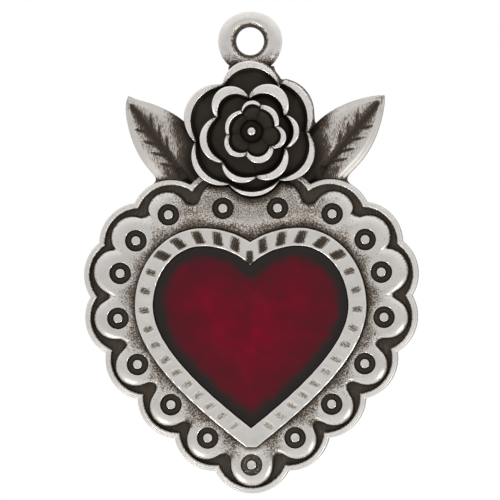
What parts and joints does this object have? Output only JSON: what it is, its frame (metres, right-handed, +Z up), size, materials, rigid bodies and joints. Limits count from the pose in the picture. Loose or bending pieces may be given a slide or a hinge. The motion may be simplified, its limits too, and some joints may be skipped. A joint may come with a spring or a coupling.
{
  "type": "heart pendant",
  "caption": "Flat-backed heart pendant: enamel heart in a notched bezel, domed ring-marked border, scalloped rim, rose and leaves above, hanging ring on top.",
  "frame": {"origin": "on the axis of the hanging ring's eye, level with the flat back", "axes": "+Z up the hanging pendant toward the ring's top, +X to the viewer's right, -Y out of the decorated front, the flat back in the plane Y = 0"},
  "size_m": [0.0266, 0.0035, 0.0384],
  "materials": {
    "pewter": "polished pewter, dark patina left in the hollows",
    "dark_pewter": "pewter under a dark patina",
    "red_enamel": "glossy deep red enamel, near black along its edge"
  },
  "bodies": {
    "root": {"hanging_ring": "pewter", "back_plate": "pewter", "scalloped_rim": "pewter", "lobed_border": "pewter", "heart_bezel": "pewter", "leaf_left": "pewter", "leaf_right": "pewter", "outer_petal_upper_right": "pewter", "outer_petal_top": "pewter", "outer_petal_upper_left": "pewter", "outer_petal_lower_left": "pewter", "outer_petal_bottom": "pewter", "outer_petal_lower_right": "pewter", "middle_petal_upper_right": "pewter", "middle_petal_upper_left": "pewter", "middle_petal_left": "pewter", "middle_petal_lower_left": "pewter", "middle_petal_lower_right": "pewter", "middle_petal_right": "pewter", "inner_petal_upper_right": "pewter", "inner_petal_top": "pewter", "inner_petal_left": "pewter", "inner_petal_lower_left": "pewter", "inner_petal_bottom": "pewter", "inner_petal_right": "pewter", "rose_pin": "pewter", "rose_washer": "dark_pewter", "enamel_heart": "red_enamel"}
  },
  "joints": []
}
